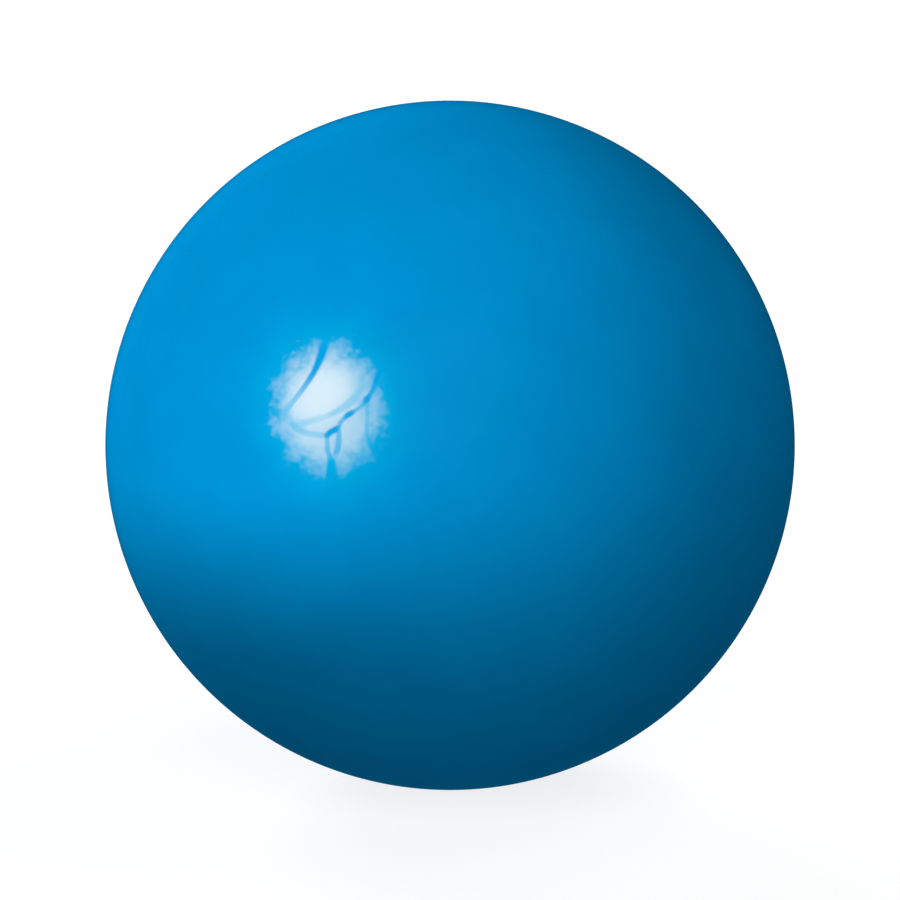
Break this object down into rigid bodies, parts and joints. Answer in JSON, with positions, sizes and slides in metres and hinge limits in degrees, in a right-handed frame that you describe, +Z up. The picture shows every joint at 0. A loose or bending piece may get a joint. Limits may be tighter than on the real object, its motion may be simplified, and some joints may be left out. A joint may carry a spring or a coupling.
{
  "type": "dog ball",
  "caption": "Hollow blue rubber dog ball of two bonded half shells, with a barbed reed squeaker in its wall and a flat land round the squeaker's mouth.",
  "frame": {"origin": "centre of the flat land that the ball rests on, round the mouth of the squeaker", "axes": "+Z up through the ball's centre and along the squeaker's vent; +Y runs from the pictured side to the far side; +X to the right in the picture"},
  "size_m": [0.065, 0.065, 0.0644],
  "materials": {
    "blue_rubber": "smooth glossy moulded rubber",
    "rubber_cement": "cured rubber cement",
    "white_plastic": "moulded polyethylene",
    "milky_plastic": "milky moulded polyethylene",
    "reed_film": "thin polyester film"
  },
  "bodies": {
    "ball": {"upper_shell": "blue_rubber", "lower_shell": "blue_rubber", "seam_cement": "rubber_cement", "squeaker_housing": "white_plastic", "squeaker_cap": "white_plastic", "reed_block": "milky_plastic", "reed_wedge": "milky_plastic", "reed_sleeve": "milky_plastic"},
    "reed": {"reed": "reed_film"}
  },
  "joints": [
    {"name": "reed_beat", "type": "hinge", "parent": "ball", "child": "reed", "pos_m": [0, -0.00103, 0.0091], "axis": [1, 0, 0], "range_deg": [-4, 4], "stiffness_Nm_per_rad": 0.013}
  ]
}
